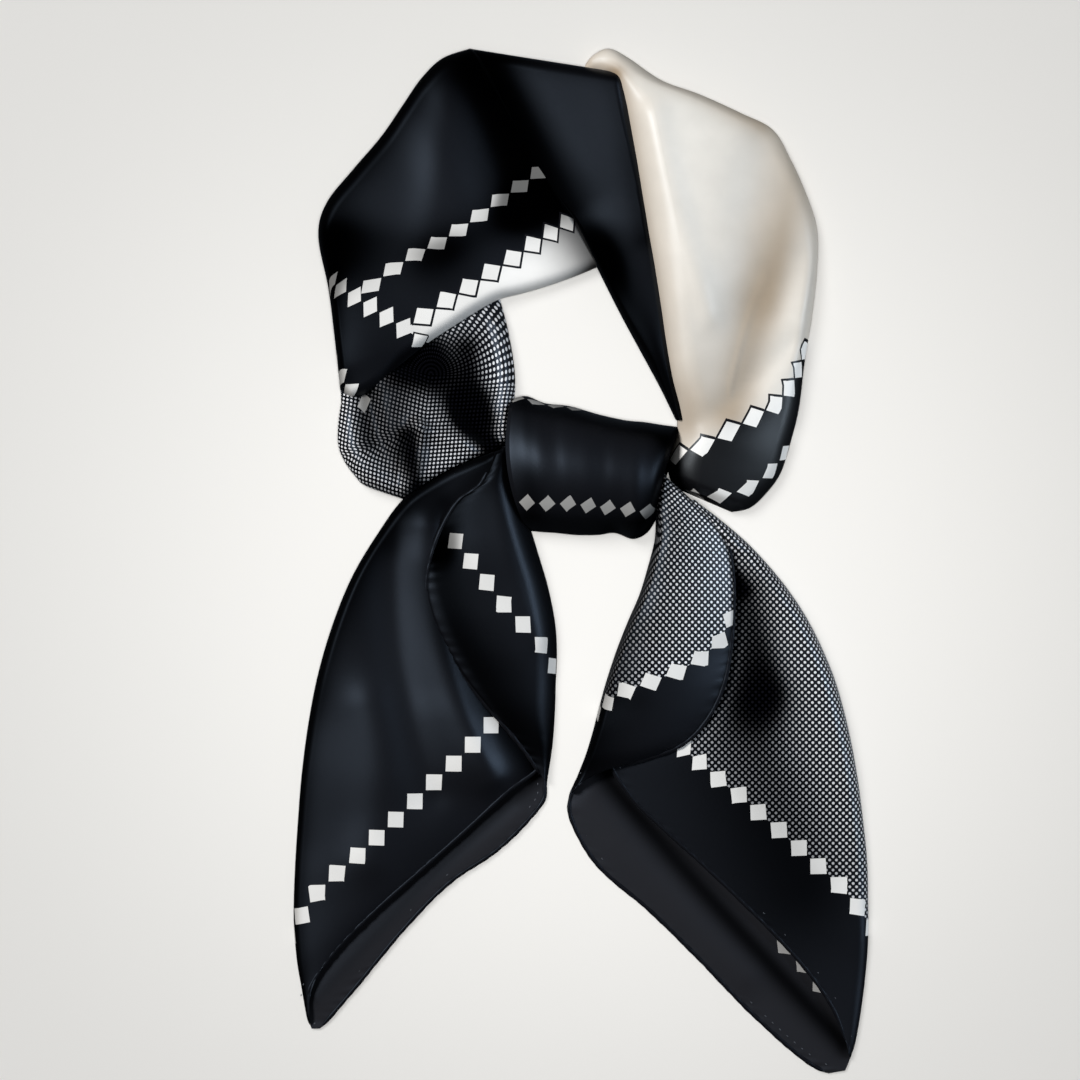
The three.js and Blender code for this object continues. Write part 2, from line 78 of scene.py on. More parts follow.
# The sections of each stretch. One runs from its left to its right corner, and its bow bends it.
SECTIONS = {
    "loop_left": [
        [470, 48, 597, 267, 0, 13, 10, 9.5], [442, 58, 575, 276, 0, 13, 10, 9.5],
        [421, 78, 550, 285, 0, 13, 12, 10], [403, 104, 523, 293, 0, 13.5, 14, 10],
        [381, 136, 500, 299, 0, 13.5, 15, 11], [352, 170, 478, 311, 0, 14, 15.5, 11],
        [326, 203, 452, 328, 0, 14, 15, 11], [318, 236, 428, 344, 0, 14, 14.5, 11],
        [328, 288, 403, 362, 0, 13, 13.5, 11], [334, 335, 380, 386, 0, 12, 12.5, 11],
        [340, 390, 354, 400, 0, 9, 11, 10],
    ],
    "loop_left_lower": [
        [341, 403, 500, 299, 0, 8, 8, 5], [338, 422, 508, 330, 0, 10, 12, 6],
        [338, 445, 514, 365, 0, 11, 13, 7], [344, 461, 515, 390, 0, 12, 13, 8],
        [354, 475, 512, 412, 2, 13, 13, 10], [366, 486, 510, 430, 4, 13, 13.5, 12],
        [403, 499, 508, 447, 6, 12, 13, 13],
    ],
    "loop_crossing": [
        [470, 48, 614, 71, 0, 11, 12.3, 14], [506, 122, 625, 130, 0, 10.4, 11.7, 14],
        [535, 165, 634, 170, 0, 9.9, 11.5, 13.5], [562, 203, 640, 205, 0, 9.6, 11, 13],
        [577, 224, 644, 230, 0, 9.5, 11.5, 13], [597, 267, 650, 265, 0, 11, 14, 14],
        [620, 313, 657, 310, 0, 12, 14.5, 14], [640, 350, 663, 349, 0, 12, 14.5, 14],
        [660, 387, 670, 386, 0, 12, 13, 13], [676, 420, 679, 420, 0, 12, 12, 12],
    ],
    "loop_right": [
        [584, 69, 586, 63, 0, 5, 5, 5], [592, 71, 594, 54, 0, 6, 7, 7],
        [602, 73, 609, 48, 0, 8, 9, 8], [611, 76, 628, 57, 0, 12, 12, 9],
        [617, 91, 662, 80, 0, 15, 15, 10], [624, 118, 700, 94, 0, 18, 18, 10],
        [631, 152, 742, 113, 0, 20, 19, 10], [637, 185, 773, 129, 0, 21, 19, 10],
        [643, 217, 790, 157, 0, 22, 19, 11], [648, 248, 806, 192, 0, 23, 19, 11],
        [653, 280, 817, 226, 0, 23, 20, 12], [658, 312, 818, 262, 0, 23, 20, 12],
        [662, 345, 813, 312, 0, 22, 19, 13], [668, 378, 805, 362, 0, 21, 18, 11],
        [676, 408, 799, 410, 0, 19, 17, 9.5], [677, 432, 789, 449, 0, 17, 17, 8.5],
        [671, 452, 780, 475, 0, 16, 16, 8], [668, 466, 765, 495, 0, 15, 15, 8],
        [670, 478, 750, 508, 2, 14, 14, 8], [676, 488, 732, 512, 4, 13, 12, 8],
    ],
    "loop_mouth": [
        [590, 66, 588, 64, 0, 4, 4, 4], [598, 67, 595, 58, 0, 4, 4.5, 5],
        [606, 68, 602, 53, 0, 4.5, 5, 5], [612, 69, 610, 52, 0, 5, 5.5, 5.5],
    ],
    "knot_band": [
        [531, 531, 515, 398, 12, 11, 22, 11], [541, 532, 527, 396, 8, 12, 25, 12],
        [556, 533, 545, 403, 4, 12, 27, 13], [576, 535, 570, 406, 0, 12, 28, 13],
        [598, 535, 598, 414, 0, 12, 28, 14], [615, 533, 625, 420, 0, 12, 28, 14],
        [633, 539, 645, 422, 0, 12, 27, 14], [647, 533, 664, 425, 2, 11, 25, 13],
        [656, 520, 680, 427, 4, 10, 20, 12],
    ],
    "tail_left_front": [
        [500, 450, 508, 449, 0, 16, 16, 15], [470, 461, 500, 480, 0, 14, 15, 13],
        [435, 478, 470, 509, 0, 13, 12.5, 11], [403, 499, 448, 545, 0, 12.5, 11, 9],
        [377, 534, 440, 580, 0, 12, 10.5, 8.5], [352, 576, 444, 615, 0, 12, 10, 8],
        [333, 622, 461, 650, 0, 11, 10, 7], [318, 672, 486, 688, 0, 9, 10.5, 6],
        [308, 722, 512, 722, 0, 6, 11.5, 5], [301, 775, 543, 760, 0, 5.5, 11, 4.2],
        [297, 825, 506, 793, 0, 5, 9, 4], [294, 875, 464, 832, 0, 4.5, 8, 4],
        [293, 920, 420, 871, 0, 4, 6.5, 4], [296, 960, 376, 910, 0, 4, 5.5, 4],
        [301, 990, 336, 950, 0, 3.5, 4.5, 4], [306, 1018, 311, 985, 0, 3.5, 4, 4],
        [309, 1026, 308, 1004, 0, 3.5, 4, 4],
    ],
    "tail_left_flap": [
        [494, 456, 509, 451, 0, 18, 19, 18], [481, 484, 512, 466, 0, 17, 19, 17],
        [458, 502, 518, 487, 0, 14, 18, 16], [441, 530, 528, 520, 0, 12.5, 17, 14],
        [430, 562, 538, 553, 0, 12, 16.5, 12], [427, 590, 548, 587, 0, 11.5, 15.5, 10],
        [434, 620, 555, 622, 0, 11, 15, 9], [448, 650, 557, 652, 0, 10, 14, 8],
        [466, 679, 556, 682, 0, 9.5, 12, 7.5], [489, 708, 555, 712, 0, 8.5, 10.5, 7],
        [512, 735, 553, 742, 0, 6.5, 8, 8], [531, 760, 550, 764, 0, 6, 6.5, 6.5],
        [541, 776, 547, 782, 0, 6, 6, 6],
    ],
    "tail_left_back": lying_sections([
        [410, 520, 520, 520], [378, 560, 535, 563], [350, 598, 546, 600],
        [332, 640, 551, 644], [318, 692, 550, 695], [310, 745, 547, 745],
        [305, 800, 545, 785], [301, 850, 540, 806], [299, 905, 500, 848],
        [299, 940, 448, 884], [301, 968, 402, 931], [303, 992, 360, 982],
        [305, 1012, 332, 1015], [311, 1030, 319, 1030],
    ]),
    "tail_right_front": [
        [688, 503, 698, 503, 0, 12, 13, 13], [705, 530, 722, 521, 0, 9, 12, 13],
        [715, 558, 752, 547, 0, 6, 11, 13], [718, 600, 785, 585, 0, 4.5, 10, 13],
        [717, 635, 810, 623, 0, 4, 9, 12.5], [708, 680, 831, 668, 0, 3.8, 8.5, 12],
        [685, 713, 843, 705, 0, 3.8, 8, 11], [650, 733, 852, 743, 0, 4, 7.5, 10],
        [611, 756, 859, 783, 0, 4.2, 7, 9], [628, 793, 864, 822, 0, 4, 6.5, 8],
        [660, 826, 868, 862, 0, 4, 6, 7], [700, 862, 869, 902, 0, 4, 5.5, 6.5],
        [740, 900, 869, 942, 0, 4, 5, 6], [780, 940, 866, 980, 0, 4, 4.6, 5],
        [813, 978, 861, 1018, 0, 4, 4.4, 4.6], [835, 1012, 856, 1045, 0, 4, 4.2, 4.4],
        [846, 1042, 851, 1060, 0, 4, 4, 4],
    ],
    "tail_right_flap": [
        [656, 519, 666, 477, 0, 14, 16, 15], [655, 540, 688, 497, 0, 15, 17, 14.5],
        [649, 564, 711, 519, 0, 16, 18, 13.5], [640, 594, 727, 545, 0, 16, 18, 12],
        [628, 622, 733, 578, 0, 16, 18, 11], [617, 650, 733, 612, 0, 15, 17, 10.5],
        [607, 680, 731, 645, 0, 14, 16, 8.5], [600, 705, 724, 684, 0, 12, 15, 7.5],
        [593, 732, 708, 718, 0, 11, 13.5, 6.8], [586, 755, 683, 744, 0, 9, 11.5, 6.5],
        [579, 773, 645, 759, 0, 7, 8, 6.5], [573, 788, 603, 769, 0, 6.5, 6.5, 6.5],
        [571, 794, 579, 783, 0, 6, 6, 6],
    ],
    "tail_right_back": lying_sections([
        [664, 560, 745, 562], [650, 590, 775, 594], [634, 625, 800, 632],
        [620, 665, 820, 674], [607, 705, 835, 718], [592, 755, 846, 770],
        [571, 797, 855, 825], [574, 826, 860, 878], [600, 868, 862, 925],
        [650, 911, 861, 955], [700, 960, 858, 990], [750, 1012, 854, 1025],
        [800, 1057, 852, 1055], [829, 1075, 846, 1072],
    ]),
}

# The folds of each stretch: curved paths that the cloth rises along, and that fade beside them.
# The columns are x0, y0, xm, ym, x1, y1, rise0, rise1, and the widths on the left and the right.
FOLDS = {
    "loop_left": [
        [335, 372, 372, 352, 420, 335, 1.2, 0, 26, 14],
        VALLEY,
        [430, 250, 446, 190, 452, 95, 1.0, 2.4, 26, 44],
    ],
    "loop_left_lower": [
        [368, 396, 372, 430, 392, 472, -4.5, -3, 11, 14], [421, 426, 446, 440, 500, 449, 5, 2.5, 6, 11],
        [400, 360, 450, 380, 484, 438, -5, -8, 18, 12], [422, 428, 424, 455, 412, 487, 4, 2, 6, 12],
        [406, 440, 402, 462, 398, 488, -2.5, -2, 8, 6], [498, 325, 510, 370, 507, 430, 2.5, 1.5, 12, 7],
    ],
    "loop_crossing": [VALLEY],
    "loop_right": [
        [820, 222, 782, 275, 744, 380, -3.2, -4.2, 22, 42], [770, 150, 752, 225, 745, 300, -3, -3, 36, 30],
        [653, 116, 669, 205, 708, 315, 2.3, 1.8, 15, 12], [766, 277, 745, 315, 728, 393, 0.3, 0.5, 3, 2.5],
        [682, 432, 735, 412, 790, 345, -1.6, -2, 14, 9],
    ],
    "knot_band": [
        [538, 404, 541, 450, 538, 520, 0.3, 0.2, 8, 7], [556, 408, 553, 440, 560, 500, -0.45, -0.2, 6, 8],
        [588, 412, 584, 460, 588, 520, 0.3, 0.2, 8, 9], [606, 418, 602, 460, 604, 520, -0.35, -0.2, 6, 7],
        [640, 425, 634, 470, 634, 534, 0.3, 0.8, 8, 10],
    ],
    "tail_left_front": [
        [431, 530, 424, 640, 492, 778, 2.4, 3.0, 15, 20], [396, 520, 376, 640, 434, 790, -2.0, -2.0, 18, 26],
        [370, 705, 388, 775, 370, 860, 1.5, 1.6, 26, 24],
    ],
    "tail_left_flap": [[500, 490, 510, 560, 540, 640, 0.8, 0.8, 16, 14]],
    "tail_left_back": [[322, 1000, 395, 915, 520, 815, 1.2, 1.2, 16, 18]],
    "tail_right_front": [
        [742, 560, 755, 640, 785, 745, -3.0, -1.0, 16, 18], [745, 540, 802, 640, 845, 780, 1.2, 1.0, 20, 22],
    ],
    "tail_right_flap": [[672, 500, 668, 580, 640, 690, 0.8, 0.8, 16, 16]],
    "tail_right_back": [[590, 800, 640, 880, 745, 975, 1.6, 1.4, 20, 20]],
}

# What else a stretch has: rolls, how far in from a side it turns down, at the first section and at
# the last; tuck, how far it goes on under its neighbours, and tuck_way, in which direction; feet,
# the heights that a side starts from, as pairs of a place along it and a height; edge_shade, the
# painted shade at a rolled edge, which stands for EDGE_SHADE at one side or at any; and for the
# dots, bend or gather.
MAKES = {
    "loop_left": {
        "edge_shade": {"left": (0.93, 1.5), "right": (0.2, 1)},
        "rolls": {"end": (3, 3), "left": (7, 6), "right": (5, 5)},
        "tuck": {"start": 14},
        "tuck_way": (0.93, 0.37),
    },
    "loop_left_lower": {
        "bend": ((416, 500), (431, 374), 34, 0.12),
        "edge_shade": {"any": (0.2, 1)},
        "rolls": {"end": (5, 5), "left": (8, 8), "right": (6, 6)},
        "tuck": {"start": 12},
    },
    "loop_crossing": {
        "rolls": {"start": (6, 6), "left": (0, 4)},
        "tuck": {"right": 8},
    },
    "loop_right": {
        "rolls": {"start": (3, 3), "end": (6, 6), "left": (12, 14), "right": (6, 7)},
        "edge_shade": {"any": (0.4, 1)},
    },
    "loop_mouth": {
        "rolls": {"right": (2, 2)},
        "tuck": {"end": 4, "left": 5},
    },
    "knot_band": {
        "rolls": {"end": (4, 4), "left": (8, 8), "right": (6, 6)},
        "tuck": {"start": 4},
    },
    "tail_left_front": {
        "edge_shade": {"left": (0.9, 1.6)},
        "rolls": {"left": (5, 3)},
        "tuck": {"start": 4},
        "feet": {"left": [[0, 9], [0.1, 9], [0.2, 1]]},
    },
    "tail_left_flap": {
        "rolls": {"left": (1.5, 1.5), "right": (10, 8)},
        "edge_shade": {"any": (0.5, 1)},
        "tuck": {"start": 3},
        "feet": {"left": [[0, 15], [1, 5]], "right": [[0, 13], [0.1, 12], [0.25, 1]]},
    },
    "tail_right_front": {
        "rolls": {"right": (7, 5)},
        "edge_shade": {"any": (0.1, 1)},
        "tuck": {"start": 4},
        "feet": {"right": [[0, 9], [0.1, 1]]},
    },
    "tail_right_flap": {
        "rolls": {"left": (5, 3), "right": (1.5, 1.5)},
        "gather": 0.3,
        "tuck": {"start": 4},
        "feet": {"left": [[0, 1], [1, 1]], "right": [[0, 12], [1, 5]]},
    },
}

# The rows of squares in the print: the sizes that ROW names, then the squares' centres. across is
# half of a square's diagonal across its row, along the same along it as a share of the pitch, and
# skew leans it. outline is a dark line round the squares, and tone their lightness, lowered or
# raised row by row as painted shade or painted light; from and to are where along the row they begin
# and stop, counted in squares from the first centre.
ROWS = {
    "loop_left": [
        (8.5, 0.455, -0.315, 0, 0.84, -0.5, 8.5,
         [539, 173], [520, 187], [500, 201], [480, 217], [459, 232], [438, 245], [416, 256],
         [394, 270], [372, 287]),
        (12.2, 0.42, 0, 0, 0.9, -0.5, 5.5,
         [332, 283], [341, 289], [355, 298], [371, 308], [387, 318], [404, 329]),
        (10.3, 0.43, -0.05, 2, 1, -3, 7.52,
         [567, 223], [551, 233], [533, 245], [513, 259], [491, 273], [469, 288], [447, 301],
         [424, 317]),
        (11, 0.42, 0, 0, 0.9, -0.5, 2.5, [334, 366], [341, 378], [351, 391]),
        (10, 0.45, 0, 1.6, 1, -0.5, 0.5, [420, 342], [438, 330]),
    ],
    "loop_left_lower": [(9, 0.44, 0.5, 0, 0.62, -0.5, 0.5, [364, 403], [378, 395])],
    "loop_right": [
        (9.8, 0.445, 0.27, 2.1, 1.12, -3, 11,
         [850, 318], [826, 334], [805, 352], [799, 370], [789, 389], [775, 405], [753, 418],
         [728, 432], [702, 447], [677, 455]),
        (8.2, 0.42, 0.25, 0, 1, -3, 5,
         [785, 453], [771, 471], [749, 488], [718, 497], [691, 497]),
    ],
    "knot_band": [
        (9.6, 0.395, 0.15, 0, 0.42, -2, 8,
         [527, 503], [547, 504], [568, 504], [588, 506], [607, 508], [627, 510], [647, 512]),
        (8.5, 0.44, 0.3, 0, 0.75, -2, 3.6,
         [517, 399], [536, 403], [556, 406], [575, 409], [594, 412]),
    ],
    "tail_left_front": [
        (11, 0.415, 0, 0, 0.92, -0.5, 13,
         [491, 725], [473, 744], [454, 763], [434, 782], [415, 801], [396, 819], [377, 837],
         [358, 855], [337, 873], [317, 893], [301, 916]),
    ],
    "tail_left_flap": [
        (10.6, 0.40, -0.08, 0, 0.9, -0.5, 9,
         [456, 541], [471, 561], [487, 582], [504, 604], [523, 624], [542, 645], [553, 666]),
    ],
    "tail_right_front": [
        (11, 0.41, 0, 0, 1, -2, 13,
         [684, 749], [699, 762], [718, 779], [739, 795], [758, 812], [779, 830], [799, 848],
         [818, 866], [839, 885], [858, 907], [869, 928]),
    ],
    "tail_right_flap": [
        (10.2, 0.42, -0.15, 0, 1, -2, 9,
         [731, 618], [719, 641], [700, 658], [676, 671], [650, 681], [625, 690], [606, 702]),
    ],
    "tail_right_back": [(8.5, 0.4, 0, 0, 0.5, -0.5, 2.5, [785, 948], [804, 967], [820, 987])],
}

# Painted shade: where the cloth lies in a deep fold or a cast shadow, its colour is darkened and
# its shine dimmed. The paths are as those of the folds, and the rises are shares of shade painted.
VALLEY_SHADE_PATHS = [
    [495, 66, 535, 145, 600, 260, 0.95, 0.95, 36, 36],
    [470, 75, 500, 140, 520, 215, 0.6, 0.85, 30, 26],
]
SHADE_PATHS = {
    "loop_left": [
        *VALLEY_SHADE_PATHS,
        [430, 262, 480, 235, 545, 190, 0.4, 0.8, 24, 24], [440, 62, 365, 150, 325, 250, 0.35, 0.7, 46, 20],
        [350, 240, 390, 246, 440, 250, 0.5, 0.6, 26, 40], [345, 300, 370, 330, 392, 372, 0.45, 0.4, 50, 50],
        [480, 318, 545, 294, 600, 270, 0.15, 0.2, 6, 8], [330, 240, 326, 300, 338, 390, 0.5, 0.5, 14, 12],
    ],
    "loop_crossing": [
        *VALLEY_SHADE_PATHS,
        [600, 255, 640, 320, 676, 415, 0.8, 0.97, 20, 34], [614, 70, 628, 150, 646, 240, 0.3, 0.6, 8, 14],
    ],
    "loop_left_lower": [
        [390, 376, 388, 415, 394, 448, 0.92, 0.88, 44, 30],
        [412, 356, 450, 372, 462, 412, 0.97, 0.93, 25, 22], [470, 350, 474, 385, 478, 420, 0.7, 0.8, 15, 15],
        [418, 352, 455, 336, 500, 306, 0.7, 0.3, 10, 32], [364, 392, 360, 420, 366, 444, 0.6, 0.5, 12, 9],
        [412, 436, 413, 465, 418, 494, 0.5, 0.85, 7, 11], [457, 400, 458, 432, 500, 450, 0.85, 0.95, 9, 8],
        [488, 398, 490, 425, 492, 446, 0.4, 0.8, 9, 12], [422, 494, 455, 474, 505, 455, 0.9, 0.97, 9, 8],
    ],
    "loop_right": [
        [792, 140, 784, 220, 765, 290, 0.45, 0.4, 20, 72], [806, 200, 765, 290, 728, 412, 0.3, 0.85, 27, 33],
        [616, 78, 634, 190, 666, 390, 0.6, 0.5, 11, 8], [590, 68, 600, 62, 614, 74, 0.5, 0.5, 8, 8],
        [700, 345, 690, 380, 684, 425, 0.1, 0.4, 16, 18], [625, 60, 700, 92, 760, 122, 0.25, 0.35, 10, 16],
    ],
    "knot_band": [
        [520, 532, 590, 538, 660, 530, 0.9, 0.9, 14, 14], [515, 397, 590, 411, 680, 426, 0.45, 0.97, 20, 12],
        [560, 398, 620, 414, 680, 432, 0.5, 0.9, 16, 20], [520, 405, 530, 450, 532, 520, 0.45, 0.6, 14, 14],
        [676, 428, 658, 480, 646, 540, 0.7, 0.8, 14, 16],
    ],
    "tail_left_front": [
        [426, 570, 440, 660, 540, 772, 0.4, 0.97, 10, 16], [400, 500, 330, 600, 304, 830, 0.6, 0.3, 30, 12],
        [500, 452, 470, 480, 436, 520, 0.6, 0.3, 20, 10], [440, 500, 415, 514, 396, 545, 0.5, 0.3, 14, 14],
    ],
    "tail_left_flap": [
        [436, 560, 446, 640, 530, 750, 0.92, 0.9, 38, 12], [500, 455, 466, 490, 436, 545, 0.85, 0.9, 22, 10],
    ],
    "tail_left_back": [[545, 772, 440, 858, 312, 1000, 0.7, 0.5, 9, 20]],
    "tail_right_front": [
        [744, 594, 757, 640, 768, 688, 0.97, 0.95, 24, 40],
        [752, 732, 772, 790, 806, 880, 0.85, 0.75, 52, 84], [718, 540, 732, 560, 742, 590, 0.2, 0.6, 8, 8],
    ],
    "tail_right_flap": [[653, 520, 632, 620, 586, 762, 0.7, 0.85, 34, 10]],
    "tail_right_back": [[600, 772, 690, 880, 845, 1045, 0.85, 0.9, 12, 13]],
}

# The side of a stretch that is hemmed, and from where along it
HEMS = {
    "tail_left_front": ("right", 0.52),
    "tail_left_flap": ("left", 0.03),
    "tail_left_back": ("right", 0.38),
    "tail_right_front": ("left", 0.46),
    "tail_right_flap": ("right", 0.12),
    "tail_right_back": ("left", 0.34),
}
# The puckers beside a hem: their height, their reach, the lengths of their waves in millimetres,
# and the share of the stretch in which they start
PUCKER = 0.25 * MM
PUCKER_REACH = 4 * MM
PUCKER_WAVES = (0.9, 5, 7)
PUCKER_START = 0.04

# The ground round the rows: on which side of which rows it is light or dotted, +1 to the right of
# the row's direction and -1 to its left. An empty list is everywhere, and the rest is dark.
GROUNDS = {
    "loop_left": {"light": [(1, -1), (2, -1)]},
    "loop_left_lower": {"dots": []},
    "loop_right": {"light": [(0, 1)]},
    "loop_mouth": {"light": []},
    "tail_right_front": {"dots": [(0, -1)]},
    "tail_right_flap": {"dots": [(0, 1)]},
}


def place(x, y):
    """View units to metres in the part's frame."""
    return (np.asarray(x) - VIEW_MIDDLE[0]) * UNIT, (VIEW_MIDDLE[1] - np.asarray(y)) * UNIT


def smooth(column, t):
    """A table's column at t along it, on a smooth curve through its rows."""
    last = len(column) - 1
    k = np.clip(np.floor(t * last).astype(int), 0, last - 1)
    f = t * last - k
    p, q = column[np.maximum(k - 1, 0)], column[k]
    r, s = column[k + 1], column[np.minimum(k + 2, last)]
    return q + f * ((r - p) / 2 + f * (p - 2.5 * q + 2 * r - s / 2 + f * (1.5 * (q - r) + (s - p) / 2)))


def rolled(distance, roll):
    """How far the cloth has turned up, from 0 at its foot to 1, at a distance in from a side."""
    share = np.clip(distance / np.maximum(roll, 1e-6), 0, 1)
    return np.where(roll > 1e-5, np.sqrt(1 - (1 - share) ** 2), 1)


def nearest_on(line, x, y):
    """How far points are off a line, how many steps along it, and how far to its right or left."""
    away, at, beside = np.full_like(x, np.inf), np.zeros_like(x), np.zeros_like(x)
    for k, ((ax, ay), (dx, dy)) in enumerate(zip(line, np.diff(line, axis=0))):
        share = np.clip(((x - ax) * dx + (y - ay) * dy) / (dx * dx + dy * dy), 0, 1)
        gap = np.hypot(x - ax - share * dx, y - ay - share * dy)
        closer = gap < away
        away = np.where(closer, gap, away)
        at = np.where(closer, k + share, at)
        beside = np.where(closer, (dx * (y - ay) - dy * (x - ax)) / math.hypot(dx, dy), beside)
    return away, at, beside


PATH_STEPS = 24


def along_paths(paths, x, y):
    """The sum, at points of the view, of what rises along each curved path and fades beside it."""
    total = np.zeros_like(x)
    for x0, y0, xm, ym, x1, y1, rise0, rise1, wide_left, wide_right in paths:
        t = np.linspace(0, 1, PATH_STEPS + 1)
        px = (1 - t) ** 2 * x0 + 2 * t * (1 - t) * xm + t * t * x1
        py = (1 - t) ** 2 * y0 + 2 * t * (1 - t) * ym + t * t * y1
        away, at, beside = nearest_on(np.stack([px, py], 1), x, y)
        lean = np.clip(beside / np.maximum(away, 1e-6), -1, 1)
        width = (wide_left * (1 - lean) + wide_right * (1 + lean)) / 2
        rise = rise0 + (rise1 - rise0) * at / PATH_STEPS
        total += rise * np.exp(-((away / width) ** 2))
    return total


EASE = 0.1


def eased(total):
    """A sum of shades, kept below 1 without a sudden stop."""
    return np.clip(1 - EASE * np.log1p(np.exp((1 - total) / EASE)), 0, 1)


def from_section(sections, k, x, y):
    """The distance in metres from points of the view to the line of section k."""
    line = [[sections[name][k] for name in corner] for corner in zip(*CORNERS)]
    return nearest_on(np.array(line), x, y)[0] * UNIT


def foot(stretch, side, t):
    """The height in metres that a stretch's side starts from, t along it."""
    at = stretch.get("feet", {}).get(side)
    return np.interp(t, *np.array(at, float).T) * MM if at else np.full_like(t, FOOT)


# Points across a roll, the share of a section they take where there is none, and the most they take
TURN_POINTS, PLAIN_TURN, MOST_ROLL = 11, 0.02, 0.42


def across_shares(wide, left, right, crown):
    """Shares across a section, closer together where it rolls down at a side."""
    turn = 1 - np.cos(np.linspace(0, math.pi / 2, TURN_POINTS))
    left, right = min(left / wide, MOST_ROLL), min(right / wide, MOST_ROLL)
    start = turn * left if left > 0 else np.linspace(0, PLAIN_TURN, TURN_POINTS)
    end = 1 - turn[::-1] * right if right > 0 else np.linspace(1 - PLAIN_TURN, 1, TURN_POINTS)
    return np.concatenate([start, np.linspace(start[-1], end[0], crown + 2)[1:-1], end])


# How many squares beyond its ends the line of a row is followed
LEAD = 12
# The lattice of dots where it bends: how far it follows the print's own lengths, and how much
# finer it is than elsewhere
PRINT_SHARE = 0.25
BENT_FINENESS = 1.2
# Painted shade where the cloth turns down at a side: the share of colour and shine darkened, and
# how many times the roll's size it reaches
EDGE_SHADE = (0.75, 1)
LEAST_ROLL = 0.1 * MM
# How many rows a tuck has, how steeply it sinks, and how much closer rows are at the ends
TUCK_ROWS = 6
TUCK_SLOPE = 0.9
END_CLOSENESS = 0.11
# Where across a layer it passes from its left foot to its right one
FOOT_FROM, FOOT_TO = 0.3, 0.7
# The folded layers at the sides of the ring, in millimetres
PLY_INSET, PLY_STEP, PLY_WANDER = 0.5, 0.3, 0.35
PLY_POINTS = 7
UNDERSIDE = 0.05 * MM
UNDERSIDE_SHARES = (0.25, 0.6, 1.0)
# The edge turned in under a wide roll: insets in millimetres, and shares of the edge's height
WIDE_ROLL = 2
TURNED_IN = ((0.25, 0.6), (1.2, 0.45), (3.5, 0.45))


